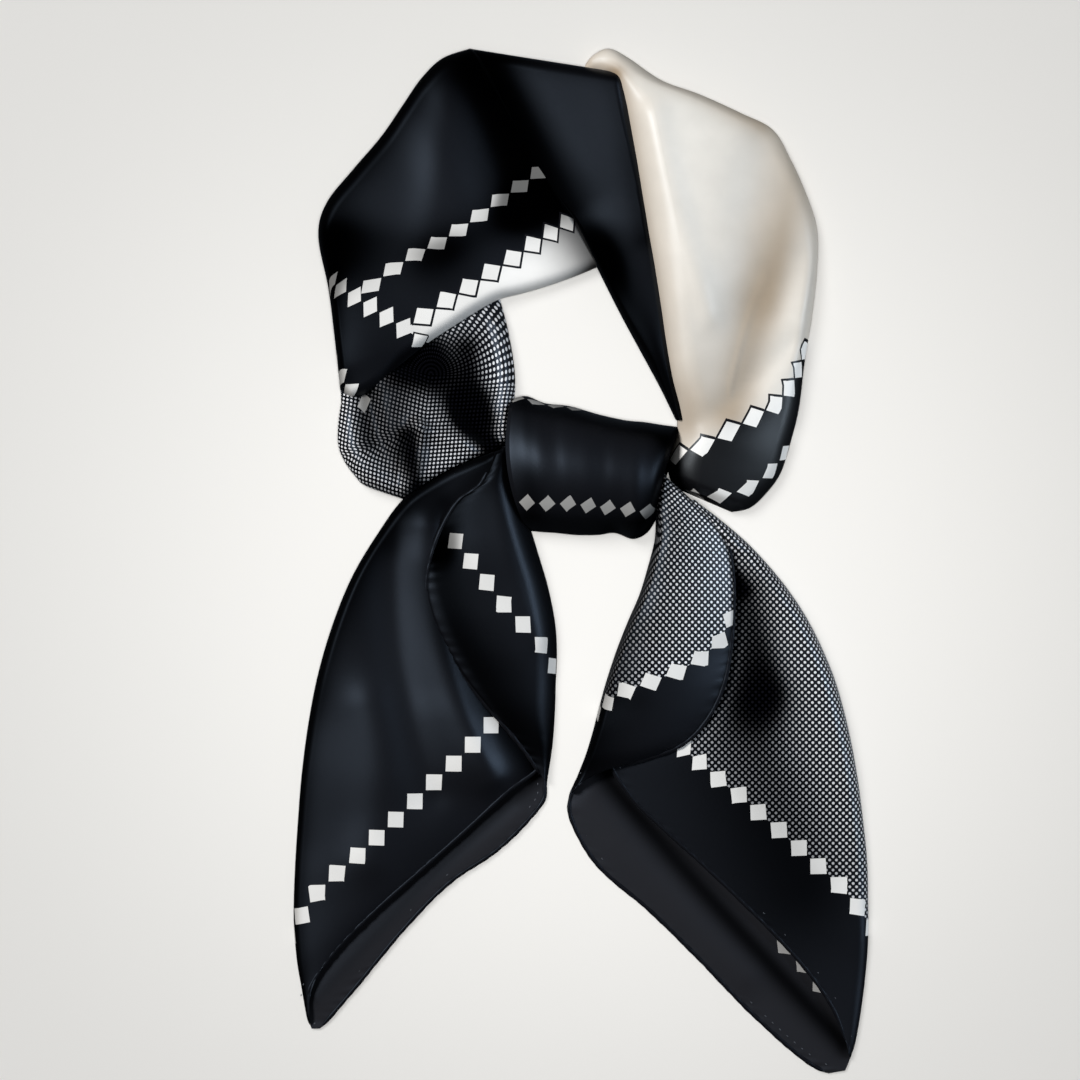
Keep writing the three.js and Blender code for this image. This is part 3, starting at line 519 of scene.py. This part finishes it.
class Stretch:
    """The grid of points of one stretch of cloth, with its place in the view and in the print."""

    def __init__(self, name, kind, crown, along):
        self.name, self.kind = name, kind
        self.table = MAKES.get(name, {})
        self.rolls = {side: self.table.get("rolls", {}).get(side, (0, 0)) for side in SIDES}
        self.tuck = {side: self.table.get("tuck", {}).get(side, 0) for side in SIDES}
        self.sections = dict(zip(SECTION, np.array(SECTIONS[name], float).T))
        self.build_top(crown, along)
        self.add_sides()
        self.place_print()

    def outline(self, along):
        """The sections of every row, where along the stretch it is, and how far it is tucked."""
        tuck = self.tuck
        u = np.linspace(0, 1, along)
        t = u - END_CLOSENESS * np.sin(2 * math.pi * u)
        s = {name: smooth(column, t) for name, column in self.sections.items()}
        lead = np.linspace(1, 0, TUCK_ROWS + 1)[:-1] if tuck["start"] else np.array([])
        trail = np.linspace(0, 1, TUCK_ROWS + 1)[1:] if tuck["end"] else np.array([])
        sunk = np.concatenate([lead * tuck["start"], np.zeros(along), trail * tuck["end"]])
        for name in s:
            first, last = s[name][0], s[name][-1]
            s[name] = np.concatenate([np.full(len(lead), first), s[name], np.full(len(trail), last)])
        middle = [(s[a] + s[b]) / 2 for a, b in CORNERS]
        first, last = len(lead), len(lead) + along - 1
        back = self.table.get("tuck_way") or [m[first] - m[first + TUCK_ROWS] for m in middle]
        ahead = [m[last] - m[last - TUCK_ROWS] for m in middle]
        for part, way in ((slice(0, first), back), (slice(last + 1, None), ahead)):
            size = math.hypot(*way)
            for names, step in zip(CORNERS, way):
                for name in names:
                    s[name][part] += step / size * sunk[part]
        return s, np.concatenate([np.zeros(len(lead)), t, np.ones(len(trail))]), sunk

    def build_top(self, crown, along):
        """The upper face: self.plan in view units, self.top in metres."""
        s, t, sunk = self.outline(along)
        dx, dy = s["rightX"] - s["leftX"], s["rightY"] - s["leftY"]
        wide = np.hypot(dx, dy)
        self.unit = np.stack([dx / wide, dy / wide], 1)
        roll = {side: np.interp(t, [0, 1], self.rolls[side]) * MM for side in SIDES}
        shares = np.array([
            across_shares(w * UNIT, a, b, crown)
            for w, a, b in zip(wide, roll["left"], roll["right"])
        ])
        grow = {side: self.tuck[side] / wide for side in ("left", "right")}
        q = shares * (1 + grow["left"] + grow["right"])[:, None] - grow["left"][:, None]
        s = {name: column[:, None] for name, column in s.items()}
        bow = 4 * q * (1 - q) * s["bow"]
        x = s["leftX"] + q * dx[:, None] + bow * self.unit[:, 1:2]
        y = s["leftY"] + q * dy[:, None] - bow * self.unit[:, 0:1]
        inside = np.clip(q, 0, 1)
        height = MM * (
            s["left"] * (2 * inside - 1) * (inside - 1)
            + s["middle"] * 4 * inside * (1 - inside)
            + s["right"] * inside * (2 * inside - 1)
        )
        height = height + along_paths(FOLDS.get(self.name, []), x, y) * MM
        wide = wide[:, None] * UNIT
        limit = MOST_ROLL * wide
        sides = [("left", inside * wide, np.minimum(roll["left"][:, None], limit)),
                 ("right", (1 - inside) * wide, np.minimum(roll["right"][:, None], limit))]
        for side, k in (("start", 0), ("end", -1)):
            sides.append((side, from_section(self.sections, k, x, y), roll[side][:, None]))
        turn, lit = 1.0, 1.0
        # Painted shade near each rolled edge: the colour is darkened and the shine dimmed where the cloth
        # turns down
        edge_shades = self.table.get("edge_shade", {})
        for side, distance, size in sides:
            turn = turn * rolled(distance, size)
            shade_part, reach = edge_shades.get(side, edge_shades.get("any", EDGE_SHADE))
            near = np.exp(-(distance / np.maximum(size * reach, LEAST_ROLL)) ** 2) * (size > LEAST_ROLL)
            lit = lit * (1 - shade_part * near)
        if self.kind == "folded":
            low = np.full_like(x, LIP)
        else:
            left, right = foot(self.table, "left", t)[:, None], foot(self.table, "right", t)[:, None]
            passed = np.clip((inside - FOOT_FROM) / (FOOT_TO - FOOT_FROM), 0, 1)
            low = left + (right - left) * passed
        z = low + np.maximum(height - low, 0) * turn + self.pucker(x, y, inside * wide, wide, t)
        beyond = np.maximum(-q, q - 1).clip(0) * wide + sunk[:, None] * UNIT
        z = np.maximum(z - beyond * TUCK_SLOPE, LEAST_HEIGHT)
        self.plan = np.stack([x, y], -1)
        # Painted shade: from the paths of shade and from the rolled edges, the share by which each point's
        # colour is darkened and its shine dimmed
        painted_shade = eased(along_paths(SHADE_PATHS.get(self.name, []), x, y))
        self.depth = 1 - (1 - painted_shade) * lit
        self.top = np.stack([*place(x, y), z], -1)
        self.shares = t

    def pucker(self, x, y, distance, wide, t):
        """How far the gathering of a hem lifts or sinks the cloth beside it, in metres."""
        if self.name not in HEMS:
            return 0
        side, start = HEMS[self.name]
        k = -1 if side == "right" else 0
        run = np.cumsum(np.hypot(np.gradient(x[:, k]), np.gradient(y[:, k]))) * UNIT / MM
        fine, drift, swell = (run / length for length in PUCKER_WAVES)
        wave = np.sin(fine + 1.4 * np.sin(drift)) * (0.6 + 0.4 * np.sin(swell))
        wave = wave * np.clip((t - start) / PUCKER_START, 0, 1)
        away = wide - distance if side == "right" else distance
        return PUCKER * wave[:, None] * np.exp(-(away / PUCKER_REACH) ** 2)

    def add_sides(self):
        """Continues the grid down its sides: folded layers and an underside, or a turned-in edge."""
        out = np.stack([self.unit[:, 0], -self.unit[:, 1]], 1)
        parts = {"left": [], "right": []}
        for side, sign, k in (("left", -1, 0), ("right", 1, -1)):
            edge = self.top[:, k]
            away = out * sign

            def point(inset, z):
                p = edge.copy()
                p[:, :2] -= away * np.asarray(inset).reshape(-1, 1)
                p[:, 2] = z
                return p

            if self.kind == "folded":
                r = LIP / PLIES / 2
                for ply in range(PLIES):
                    wander = PLY_WANDER * MM * np.sin(self.shares * (7 + 3 * ply) + ply * 2.1)
                    inset = PLY_INSET * MM + PLY_STEP * MM * ply + wander
                    for angle in np.linspace(math.pi / 2, -math.pi / 2, PLY_POINTS):
                        z = LIP - r * (2 * ply + 1) + r * math.sin(angle)
                        parts[side].append(point(inset - r * math.cos(angle) + r, z))
                half = np.hypot(*(self.top[:, -1, :2] - self.top[:, 0, :2]).T) / 2
                for share in UNDERSIDE_SHARES:
                    parts[side].append(point(half * share, UNDERSIDE))
            elif self.rolls[side][0] > WIDE_ROLL:
                for inset, share in TURNED_IN:
                    parts[side].append(point(inset * MM, edge[:, 2] * share))
        grid = [*parts["left"][::-1], *np.moveaxis(self.top, 1, 0), *parts["right"]]
        self.grid = np.stack(grid, 1)
        self.first = len(parts["left"])

    def place_print(self):
        """Where each point lies in the print, in view units, measured along the cloth."""
        step = np.linalg.norm(np.diff(self.grid, axis=1), axis=2) / UNIT
        run = np.concatenate([np.zeros((len(step), 1)), np.cumsum(step, axis=1)], axis=1)
        middle = self.first + self.top.shape[1] // 2
        run = run - run[:, middle:middle + 1]
        start = self.plan[:, self.top.shape[1] // 2]
        self.print = start[:, None] + run[:, :, None] * self.unit[:, None]

    def dot_places(self):
        """Where each point lies in the lattice of dots, in view units.

        gather draws the lattice in where the stretch is narrow, by that power of its width. bend
        runs it round the line between two points, with a least radius and its growth outwards.
        """
        bend = self.table.get("bend")
        if not bend:
            wide = np.linalg.norm(self.top[:, -1] - self.top[:, 0], axis=1)
            drawn = (wide.max() / wide) ** self.table.get("gather", 0)
            start = self.plan[:, self.top.shape[1] // 2][:, None]
            return start + (self.print - start) * drawn[:, None, None]
        (ax, ay), (bx, by), least, growth = bend
        size = math.hypot(bx - ax, by - ay)
        ux, uy = (bx - ax) / size, (by - ay) / size
        beside = self.grid.shape[1] - self.first - self.plan.shape[1]
        seen = np.pad(self.plan, ((0, 0), (self.first, beside), (0, 0)), mode="edge")
        seen = seen + PRINT_SHARE * (self.print - seen)
        x, y = seen[..., 0] - bx, seen[..., 1] - by
        forward, aside = x * ux + y * uy, y * ux - x * uy
        turn = np.arctan2(aside, np.maximum(forward, 0) + 1e-6)
        away = np.where(forward > 0, np.hypot(x, y), np.abs(aside))
        radius = least + growth * away
        run = np.where(forward > 0, radius * turn, np.sign(aside) * (radius * math.pi / 2 - forward))
        return np.stack([away + run, away - run], -1) * (BENT_FINENESS / math.sqrt(2))

    def row_in_print(self, centres):
        """Squares' centres in the view to centres in the print."""
        n = self.top.shape[1]
        mine = self.print[:, self.first:self.first + n].reshape(-1, 2)
        plan = self.plan.reshape(-1, 2)
        found = []
        for c in np.array(centres, float):
            k = np.argmin(np.hypot(*(plan - c).T))
            found.append(mine[k] + c - plan[k])
        return np.array(found)

    def row_map(self, row):
        """For each point, how many squares along a row it lies and how far off it, as a UV map."""
        at = self.row_in_print(row["at"])
        line = np.array([
            *(at[0] - (at[1] - at[0]) * k for k in range(LEAD, 0, -1)),
            *at,
            *(at[-1] + (at[-1] - at[-2]) * k for k in range(1, LEAD + 1)),
        ])
        away, along, beside = nearest_on(line, *self.print.reshape(-1, 2).T)
        return np.stack([along, np.sign(beside) * away], 1)

    def pitch(self, row):
        """The mean distance between a row's squares, in view units."""
        return float(np.mean(np.hypot(*np.diff(self.row_in_print(row["at"]), axis=0).T)))


def in_scene(name, data):
    """A new object in the scene."""
    obj = bpy.data.objects.new(name, data)
    bpy.context.scene.collection.objects.link(obj)
    return obj


def mesh_object(name, points, faces):
    """A smooth mesh object in the scene."""
    mesh = bpy.data.meshes.new(name)
    mesh.from_pydata(points, [], faces)
    mesh.polygons.foreach_set("use_smooth", np.ones(len(faces), bool))
    return in_scene(name, mesh)


def grid_object(name, grid, uvs, wrap=False):
    """A mesh object from a grid of points, with UV maps given as {name: a pair for each point}."""
    m, n = grid.shape[:2]
    index = np.arange(m * n).reshape(m, n)
    a, b = index[:-1, :-1], index[:-1, 1:]
    c, d = index[1:, 1:], index[1:, :-1]
    faces = np.stack([a, d, c, b], -1).reshape(-1, 4)
    if wrap:
        last, first = index[:, -1], index[:, 0]
        faces = np.concatenate([faces, np.stack([last[:-1], last[1:], first[1:], first[:-1]], -1)])
    obj = mesh_object(name, grid.reshape(-1, 3).tolist(), faces.tolist())
    corners = faces.reshape(-1)
    for key, values in uvs.items():
        layer = obj.data.uv_layers.new(name=key)
        layer.data.foreach_set("uv", values[corners].astype(np.float32).reshape(-1))
    obj.data.update()
    return obj


class Shade:
    """Short calls for a material's nodes."""

    def __init__(self, name):
        self.material = bpy.data.materials.new(name)
        self.material.use_nodes = True
        self.tree = self.material.node_tree
        self.shader = self.tree.nodes["Principled BSDF"]

    def node(self, kind, **inputs):
        """A node with its inputs set or linked, with _ for a space in their names."""
        node = self.tree.nodes.new(kind)
        for key, value in inputs.items():
            self.put(node.inputs[key.replace("_", " ")], value)
        return node

    def surface(self, **inputs):
        """Sets or links inputs of the shader."""
        for key, value in inputs.items():
            self.put(self.shader.inputs[key.replace("_", " ")], value)

    def put(self, socket, value):
        """Links a socket to another, or sets it to a value."""
        if isinstance(value, bpy.types.NodeSocket):
            self.tree.links.new(value, socket)
        else:
            socket.default_value = value

    def math(self, operation, *values):
        """The result of a sum on sockets or numbers."""
        node = self.tree.nodes.new("ShaderNodeMath")
        node.operation = operation
        for socket, value in zip(node.inputs, values):
            self.put(socket, value)
        return node.outputs[0]

    def mix(self, factor, a, b, blend="MIX"):
        """Two colours mixed by a factor."""
        node = self.tree.nodes.new("ShaderNodeMix")
        node.data_type, node.blend_type = "RGBA", blend
        for socket, value in zip((node.inputs[0], node.inputs[6], node.inputs[7]), (factor, a, b)):
            self.put(socket, value)
        return node.outputs[2]

    def uv(self, name):
        """The socket of a UV map."""
        node = self.tree.nodes.new("ShaderNodeUVMap")
        node.uv_map = name
        return node.outputs[0]

    def split(self, name):
        """The two numbers of a UV map, as sockets."""
        apart = self.node("ShaderNodeSeparateXYZ", Vector=self.uv(name))
        return apart.outputs[:2]


DARK = (0.0042, 0.0042, 0.0054, 1)
# The reverse face of the navy: its own dark colour, lightened to paint the sheen that the flat lying layers
# show
REVERSE_WITH_SHEEN = (0.0138, 0.0132, 0.0150, 1)
LIGHT = (0.77, 0.74, 0.685, 1)
WHITE = (0.84, 0.83, 0.81, 1)
SQUARE = (0.74, 0.73, 0.71)
DOT = (0.78, 0.79, 0.82, 1)
NAVY_SHINE = (0.60, 0.76, 1.0, 1)
SHEEN = (0.62, 0.74, 0.95, 1)
# The looks of the silk: its gloss, the tint of its shine, and what its colour is multiplied by in
# the deepest painted shade, near black on the navy and a warm tan painted into the cream's folds
LOOKS = {
    "navy": {"gloss": 0.34, "shine": NAVY_SHINE, "painted_shade": (0.004, 0.004, 0.006, 1)},
    "cream": {"gloss": 0.60, "shine": (0.85, 0.93, 1.0, 1), "painted_shade": (0.40, 0.315, 0.23, 1)},
    "hem": {"gloss": 0.14, "shine": NAVY_SHINE, "painted_shade": None},
}
# How painted shade darkens the squares: by a power of its share, by how much, and to which share
SQUARE_SHADE_POWER, SQUARE_SHADE_STRENGTH, SQUARE_IN_DEEP_SHADE = 4, 0.85, 0.05
# How much an outline widens the rhombs of a row
OUTLINE_SPREAD = 1.5
# The dots' step in view units and their radius as a share of it along the lattice
DOT_STEP = 4.75
DOT_RADIUS = 0.29
# The weave: threads along one diagonal, and the fine bands that cross them
THREAD_SCALE = (0.35, 3.2, 1)
BAND_SCALE = 0.85
BAND_DEPTH = 0.35


def dots(s, x, y):
    """A lattice of small dots at 45 degrees: 1 on a dot and 0 between."""
    cells = [s.math("FRACT", s.math("DIVIDE", s.math(sign, x, y), DOT_STEP * math.sqrt(2)))
             for sign in ("ADD", "SUBTRACT")]
    squares = [s.math("POWER", s.math("SUBTRACT", cell, 0.5), 2) for cell in cells]
    return s.math("LESS_THAN", s.math("ADD", *squares), DOT_RADIUS ** 2)


def on_row(s, row, pitch, along, off):
    """1 on the row's squares, and 1 on them and their outline."""
    counted = s.math("SUBTRACT", along, LEAD)
    phase = s.math("SUBTRACT", s.math("FRACT", s.math("ADD", counted, 0.5)), 0.5)
    lean = s.math("ABSOLUTE", s.math("MULTIPLY_ADD", off, row["skew"], s.math("MULTIPLY", phase, pitch)))
    reach = s.math("ADD", s.math("DIVIDE", lean, row["along"] * pitch),
                   s.math("DIVIDE", s.math("ABSOLUTE", off), row["across"]))
    shown = s.math("MULTIPLY", s.math("GREATER_THAN", counted, row["from"]),
                   s.math("LESS_THAN", counted, row["to"]))
    border = 1 + OUTLINE_SPREAD * row["outline"] / row["across"]
    return [s.math("MULTIPLY", shown, s.math("LESS_THAN", reach, size)) for size in (1, border)]


def silk(name, look, ground, rows_of=(), pitches=(), dark=DARK, light=LIGHT):
    """Printed silk: ground, rows of squares, painted shade, a satin weave and its soft shine."""
    s = Shade(name)
    cloth = s.uv("Cloth")
    gloss, painted_shade = look["gloss"], look["painted_shade"]
    masks, sides = [], []
    for k, (row, pitch) in enumerate(zip(rows_of, pitches)):
        along, off = s.split(f"Row{k}")
        masks.append((row, *on_row(s, row, pitch, along, off)))
        sides.append(off)
    colour = dark
    for kind, where in ground.items():
        inside = 1.0
        for k, sign in where:
            one = s.math("GREATER_THAN", s.math("MULTIPLY", sides[k], sign), 0)
            inside = s.math("MULTIPLY", inside, one)
        if kind == "light":
            colour = s.mix(inside, dark, light)
        else:
            dx, dy = s.split("Dots")
            colour = s.mix(s.math("MULTIPLY", dots(s, dx, dy), inside), dark, DOT)
    # Painted shade: the colour darkened towards the look's shade colour and the shine dimmed, by each
    # point's share of shade
    depth = 0.0
    if painted_shade:
        depth, _ = s.split("Depth")
        colour = s.mix(depth, colour, s.mix(1.0, colour, painted_shade, "MULTIPLY"))
        gloss = s.math("MULTIPLY_ADD", depth, -gloss, gloss)
    square_shade = s.math("MULTIPLY", s.math("POWER", depth, SQUARE_SHADE_POWER), SQUARE_SHADE_STRENGTH)
    for row, square, border in masks:
        if row["outline"]:
            colour = s.mix(border, colour, dark)
        bright = [c * row["tone"] for c in SQUARE]
        tone = s.mix(square_shade, (*bright, 1), (*(c * SQUARE_IN_DEEP_SHADE for c in bright), 1))
        colour = s.mix(square, colour, tone)
    cloud = s.node("ShaderNodeTexNoise", Vector=cloth, Scale=0.035, Detail=3.0, Roughness=0.5)
    shade = s.node("ShaderNodeMapRange", Value=cloud.outputs[0], From_Min=0.3, From_Max=0.7,
                   To_Min=0.97, To_Max=1.03)
    threads = s.node("ShaderNodeMapping", Vector=cloth, Scale=THREAD_SCALE,
                     Rotation=(0, 0, math.radians(45)))
    grain = s.node("ShaderNodeTexNoise", Vector=threads.outputs[0], Scale=1.0, Detail=2.0)
    cross = s.node("ShaderNodeTexWave", Vector=cloth, Scale=BAND_SCALE, Distortion=0.6, Detail=1.0)
    cross.bands_direction = "DIAGONAL"
    weave = s.math("MULTIPLY_ADD", cross.outputs["Fac"], BAND_DEPTH, grain.outputs[0])
    rough = s.node("ShaderNodeMapRange", Value=grain.outputs[0], From_Min=0.3, From_Max=0.7,
                   To_Min=0.40, To_Max=0.48)
    bump = s.node("ShaderNodeBump", Strength=0.12, Distance=0.00012, Height=weave)
    s.surface(Base_Color=s.mix(1.0, colour, shade.outputs[0], "MULTIPLY"),
              Roughness=rough.outputs[0], Normal=bump.outputs[0], Specular_IOR_Level=gloss,
              Specular_Tint=look["shine"], Sheen_Weight=0.02, Sheen_Roughness=0.4, Sheen_Tint=SHEEN)
    return s.material


def cloth_piece(stretch, ground):
    """The object of a stretch, with its print."""
    rows_of = [{**dict(zip(ROW, row)), "at": row[len(ROW):]} for row in ROWS.get(stretch.name, [])]
    # Each point's share of painted shade, passed to the material as a UV map
    beside = stretch.grid.shape[1] - stretch.first - stretch.depth.shape[1]
    depth = np.pad(stretch.depth, ((0, 0), (stretch.first, beside)), mode="edge")
    uvs = {"Cloth": stretch.print.reshape(-1, 2),
           "Depth": np.stack([depth, depth], -1).reshape(-1, 2)}
    if "dots" in ground:
        uvs["Dots"] = stretch.dot_places().reshape(-1, 2)
    for k, row in enumerate(rows_of):
        uvs[f"Row{k}"] = stretch.row_map(row)
    piece = grid_object(f"cloth_{stretch.name}", stretch.grid, uvs)
    pitches = [stretch.pitch(row) for row in rows_of]
    look = LOOKS["cream" if SLOTS.get(stretch.name) == "cream_silk" else "navy"]
    # The lying layers take the reverse colour, lightened as painted sheen
    dark = REVERSE_WITH_SHEEN if stretch.kind == "lying" else DARK
    light = WHITE if stretch.name == "loop_left" else LIGHT
    made = silk(f"silk_{stretch.name}", look, ground, rows_of, pitches, dark, light)
    piece.data.materials.append(made)
    return piece


# How each stretch is made, its points across the crown and its rows. A folded one is closed below,
# a layer hangs over what is under it, and a lying one rests on the surface.
KINDS = {
    "loop_left": ("folded", 120, 150), "loop_left_lower": ("folded", 130, 130),
    "loop_crossing": ("folded", 60, 130), "loop_right": ("folded", 120, 160),
    "loop_mouth": ("folded", 20, 30), "knot_band": ("folded", 90, 90),
    "tail_left_front": ("layer", 100, 260), "tail_left_flap": ("layer", 70, 210),
    "tail_left_back": ("lying", 60, 240), "tail_right_front": ("layer", 100, 260),
    "tail_right_flap": ("layer", 80, 200), "tail_right_back": ("lying", 60, 240),
}
SLOTS = {"loop_right": "cream_silk", "loop_mouth": "cream_silk", "loop_left_lower": "dotted_silk",
         "tail_right_front": "dotted_silk", "tail_right_flap": "dotted_silk"}
stretches, pieces = {}, {}
for name, (kind, crown, along) in KINDS.items():
    stretch = Stretch(name, kind, crown, along)
    piece = cloth_piece(stretch, GROUNDS.get(name, {}))
    if kind != "folded":
        thick = piece.modifiers.new("thickness", "SOLIDIFY")
        thick.thickness, thick.offset = CLOTH, -1
    stretches[name], pieces[name] = stretch, piece


def unit(vectors):
    """Vectors brought to a length of 1."""
    return vectors / np.linalg.norm(vectors, axis=-1, keepdims=True)


def along_and_across(path):
    """The directions ahead, across and up at each point of a path."""
    ahead = unit(np.gradient(path, axis=0))
    across = unit(np.cross(ahead, [0, 0, 1]))
    return ahead, across, np.cross(across, ahead)


def tube(name, path, radius, sides=10):
    """A hem along a path: a tube a little uneven and flattened, with its ends drawn in."""
    _, across, up = along_and_across(path)
    n = len(path)
    uneven = 1 + 0.08 * np.sin(np.arange(n) * 1.7) + 0.06 * np.sin(np.arange(n) * 0.53)
    size = radius * uneven * np.minimum(1, np.minimum(np.arange(n), np.arange(n)[::-1]) / 3 + 0.15)
    rings = []
    for k in range(sides):
        angle = 2 * math.pi * k / sides
        out = across * math.cos(angle) * HEM_WIDTH + up * math.sin(angle) * HEM_HEIGHT
        rings.append(path + out * size[:, None])
    grid = np.stack(rings, 1)
    flat = grid[..., :2].reshape(-1, 2) / UNIT
    return grid_object(name, grid, {"Cloth": flat}, wrap=True)


def resample(path, step):
    """Points a step apart along a path."""
    run = np.concatenate([[0], np.cumsum(np.linalg.norm(np.diff(path, axis=0), axis=1))])
    at = np.arange(0, run[-1], step)
    return np.stack([np.interp(at, run, path[:, k]) for k in range(3)], 1)


# A stitch, in millimetres: half its length and its radii, and its thickness along it as pairs of
# a share of the half length and a share of the radii
STITCH_LENGTH, STITCH_WIDTH, STITCH_HEIGHT = 0.55, 0.2, 0.16
STITCH_PROFILE = ((-1, 0.05), (-0.6, 0.8), (0, 1), (0.6, 0.8), (1, 0.05))
STITCH_SIDES = 6


def stitches(name, path, inset):
    """Small hand stitches beside a hem, inset to its right, or to its left where that is below 0."""
    marks = resample(path, STITCH_STEP)
    verts, faces = [], []
    for p, ahead, side, up in zip(marks, *along_and_across(marks)):
        p = p + side * inset + up * STITCH_RISE
        base = len(verts)
        for share, size in STITCH_PROFILE:
            for j in range(STITCH_SIDES):
                a = 2 * math.pi * j / STITCH_SIDES
                out = side * math.cos(a) * STITCH_WIDTH + up * math.sin(a) * STITCH_HEIGHT
                verts.append((p + (ahead * share * STITCH_LENGTH + out * size) * MM).tolist())
        for level in range(len(STITCH_PROFILE) - 1):
            for j in range(STITCH_SIDES):
                a = base + level * STITCH_SIDES + j
                b = base + level * STITCH_SIDES + (j + 1) % STITCH_SIDES
                faces.append((a, b, b + STITCH_SIDES, a + STITCH_SIDES))
    return mesh_object(name, verts, faces)


def speckled(name, scale, dark, light, roughness):
    """A matt material whose colour varies a little."""
    s = Shade(name)
    where = s.node("ShaderNodeTexCoord")
    noise = s.node("ShaderNodeTexNoise", Vector=where.outputs["Object"], Scale=scale, Detail=2.0)
    s.surface(Base_Color=s.mix(noise.outputs[0], dark, light), Roughness=roughness)
    return s.material


hem_silk = silk("silk_hem", LOOKS["hem"], {})
thread = speckled("thread", 2600.0, (0.03, 0.035, 0.045, 1), (0.09, 0.10, 0.12, 1), 0.5)
trims = {}
for name, (side, start) in HEMS.items():
    stretch = stretches[name]
    k, inset = (-1, STITCH_INSET) if side == "right" else (0, -STITCH_INSET)
    path = stretch.top[stretch.shares >= start, k].copy()
    path[:, 2] = np.maximum(path[:, 2] - HEM_DROP, HEM_RADIUS * LEAST_HEM)
    hem = tube(f"hem_{name}", resample(path, HEM_STEP), HEM_RADIUS)
    hem.data.materials.append(hem_silk)
    sewn = stitches(f"stitches_{name}", path, inset)
    sewn.data.materials.append(thread)
    trims[name] = [hem, sewn]

for name, piece in pieces.items():
    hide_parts(name)
    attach(piece, "root")
    for trim in trims.get(name, []):
        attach(trim, "root")

# The floor
FLOOR_SIZE = 6
FLOOR_DROP = 0.2 * MM
bpy.ops.mesh.primitive_plane_add(size=FLOOR_SIZE, location=(0, 0, -FLOOR_DROP))
floor = bpy.context.object
floor.name = "floor"
paper = speckled("floor_paper", 1.5, (0.80, 0.79, 0.765, 1), (0.83, 0.82, 0.80, 1), 0.8)
floor.data.materials.append(paper)
floor.visible_glossy = False


def lamp(name, kind, place_at, size, power, colour, lit, mirrored=False, cone=120, blend=0.3):
    """A soft studio light. One that isn't mirrored lights the cloth without shining in it."""
    light = bpy.data.lights.new(name, kind)
    if kind == "AREA":
        light.shape, light.size = "DISK", size
    else:
        light.shadow_soft_size = size / 2
        light.spot_size, light.spot_blend = math.radians(cone), blend
    light.energy, light.color = power, colour
    obj = in_scene(name, light)
    obj.location = place_at
    obj.rotation_euler = (-Vector(place_at)).to_track_quat("-Z", "Y").to_euler()
    obj.visible_glossy = mirrored
    obj.light_linking.receiver_collection = lit


def collection(name, members):
    """A collection of the objects that some of the lights reach."""
    made = bpy.data.collections.new(name)
    for member in members:
        made.objects.link(member)
    return made


# The light
trim_pieces = [trim for pair in trims.values() for trim in pair]
cloths = collection("cloths", [*pieces.values(), *trim_pieces])
grounds = collection("grounds", [floor])
WARM, COOL, PLAIN = (1, 0.99, 0.975), (0.82, 0.91, 1), (1, 1, 0.995)
lamp("key", "AREA", (-0.90, 0.42, 1.02), 0.45, 23, WARM, cloths, mirrored=True)
lamp("rim", "AREA", (1.15, 0.10, 0.72), 0.6, 11, COOL, cloths, mirrored=True)
lamp("front", "SPOT", (-0.12, 0.12, 0.9), 0.5, 0.8, PLAIN, cloths)
lamp("sky", "SPOT", (0, -0.03, 3.0), 1.2, 188, PLAIN, grounds)
lamp("glow", "SPOT", (0, -0.03, 0.95), 0.25, 13, PLAIN, grounds, cone=34, blend=1)
lamp("window", "SPOT", (-1.8, 1.7, 3.4), 2.0, 270, PLAIN, grounds)
world = bpy.data.worlds.new("studio")
bpy.context.scene.world = world
world.use_nodes = True
background = world.node_tree.nodes["Background"]
background.inputs["Color"].default_value = (0.95, 0.97, 1.0, 1)
background.inputs["Strength"].default_value = 0.09
world.cycles_visibility.glossy = False
bpy.context.scene.view_settings.view_transform = "Standard"

# The camera looks straight down, and the view's units hold at SCALE_HEIGHT
LENS, SENSOR = 135, 36
SCALE_HEIGHT = 6 * MM
camera = in_scene("camera", bpy.data.cameras.new("camera"))
camera.data.lens, camera.data.sensor_width = LENS, SENSOR
centre = [float(c) for c in place(VIEW_SIZE / 2, VIEW_SIZE / 2)]
camera.location = (*centre, VIEW_SIZE * UNIT * LENS / SENSOR + SCALE_HEIGHT)
camera.data.clip_start = 0.01
bpy.context.scene.camera = camera
